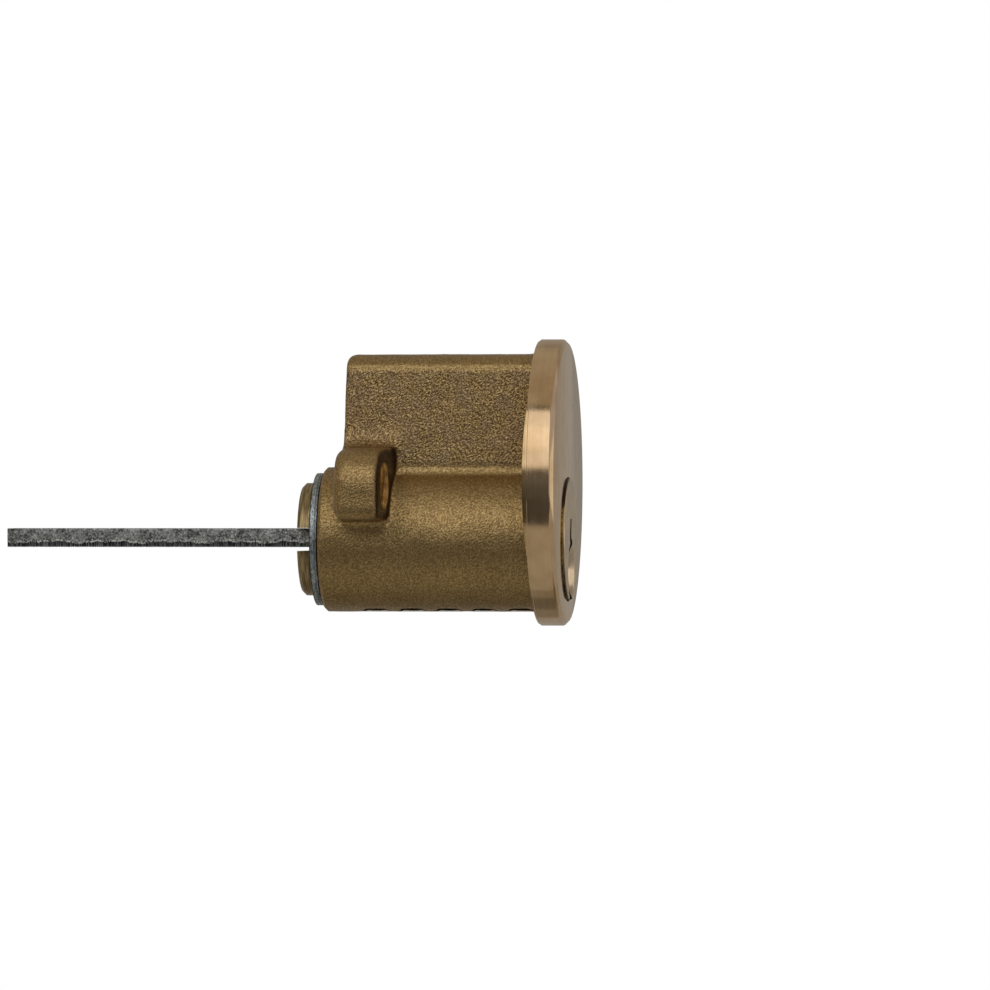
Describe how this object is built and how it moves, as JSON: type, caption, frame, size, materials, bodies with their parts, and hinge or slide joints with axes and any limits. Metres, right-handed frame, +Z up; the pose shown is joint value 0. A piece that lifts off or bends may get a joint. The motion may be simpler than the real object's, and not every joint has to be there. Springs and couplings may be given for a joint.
{
  "type": "rim cylinder",
  "caption": "Round-flanged lock cylinder whose keyed plug turns a flat tail bar, with sprung pin tumblers and two threaded fixing lugs.",
  "frame": {"origin": "centre of the round flange, on its back plane", "axes": "+Y along the cylinder towards the latch, -Y is the key side; +Z up, with the pin housing above the plug; +X to the right seen from the key side"},
  "size_m": [0.033, 0.0654, 0.033],
  "materials": {
    "forged_brass": "shot-blasted forging, with turned flange",
    "plug_brass": "turned, scratched by keys",
    "closure_brass": "cropped and ground flush",
    "pin_brass": "turned",
    "driver_steel": "turned",
    "spring_steel": "drawn wire",
    "bar_steel": "blanked strip with a sheared edge",
    "clip_steel": "zinc plated"
  },
  "bodies": {
    "housing": {"cylinder_body": "forged_brass", "spring_1": "spring_steel", "spring_2": "spring_steel", "spring_3": "spring_steel", "spring_4": "spring_steel", "spring_5": "spring_steel", "chamber_plug_1": "closure_brass", "chamber_plug_2": "closure_brass", "chamber_plug_3": "closure_brass", "chamber_plug_4": "closure_brass", "chamber_plug_5": "closure_brass"},
    "plug": {"plug": "plug_brass", "retaining_clip": "clip_steel"},
    "tail_bar": {"tail_bar": "bar_steel"},
    "key_pin_1": {"key_pin_1": "pin_brass"},
    "driver_pin_1": {"driver_pin_1": "driver_steel"},
    "key_pin_2": {"key_pin_2": "pin_brass"},
    "driver_pin_2": {"driver_pin_2": "driver_steel"},
    "key_pin_3": {"key_pin_3": "pin_brass"},
    "driver_pin_3": {"driver_pin_3": "driver_steel"},
    "key_pin_4": {"key_pin_4": "pin_brass"},
    "driver_pin_4": {"driver_pin_4": "driver_steel"},
    "key_pin_5": {"key_pin_5": "pin_brass"},
    "driver_pin_5": {"driver_pin_5": "driver_steel"}
  },
  "joints": [
    {"name": "plug_turn", "type": "hinge", "parent": "housing", "child": "plug", "pos_m": [0, 0, -0.00655], "axis": [0, 1, 0], "continuous": true},
    {"name": "tail_bar_rock", "type": "hinge", "parent": "plug", "child": "tail_bar", "pos_m": [0, 0.022, -0.00637], "axis": [1, 0, 0], "range_deg": [-3.5, 0]},
    {"name": "key_pin_1_lift", "type": "slide", "parent": "plug", "child": "key_pin_1", "axis": [0, 0, 1], "range_m": [0, 0.00235]},
    {"name": "key_pin_2_lift", "type": "slide", "parent": "plug", "child": "key_pin_2", "axis": [0, 0, 1], "range_m": [0, 0.00115]},
    {"name": "key_pin_3_lift", "type": "slide", "parent": "plug", "child": "key_pin_3", "axis": [0, 0, 1], "range_m": [0, 0.00295]},
    {"name": "key_pin_4_lift", "type": "slide", "parent": "plug", "child": "key_pin_4", "axis": [0, 0, 1], "range_m": [0, 0.00075]},
    {"name": "key_pin_5_lift", "type": "slide", "parent": "plug", "child": "key_pin_5", "axis": [0, 0, 1], "range_m": [0, 0.00175]},
    {"name": "driver_pin_1_lift", "type": "slide", "parent": "housing", "child": "driver_pin_1", "axis": [0, 0, 1], "range_m": [0, 0.0024], "stiffness_N_per_m": 60, "springref_m": -0.003, "deforming": ["spring_1"]},
    {"name": "driver_pin_2_lift", "type": "slide", "parent": "housing", "child": "driver_pin_2", "axis": [0, 0, 1], "range_m": [0, 0.0024], "stiffness_N_per_m": 60, "springref_m": -0.003, "deforming": ["spring_2"]},
    {"name": "driver_pin_3_lift", "type": "slide", "parent": "housing", "child": "driver_pin_3", "axis": [0, 0, 1], "range_m": [0, 0.0024], "stiffness_N_per_m": 60, "springref_m": -0.003, "deforming": ["spring_3"]},
    {"name": "driver_pin_4_lift", "type": "slide", "parent": "housing", "child": "driver_pin_4", "axis": [0, 0, 1], "range_m": [0, 0.0024], "stiffness_N_per_m": 60, "springref_m": -0.003, "deforming": ["spring_4"]},
    {"name": "driver_pin_5_lift", "type": "slide", "parent": "housing", "child": "driver_pin_5", "axis": [0, 0, 1], "range_m": [0, 0.0024], "stiffness_N_per_m": 60, "springref_m": -0.003, "deforming": ["spring_5"]}
  ]
}
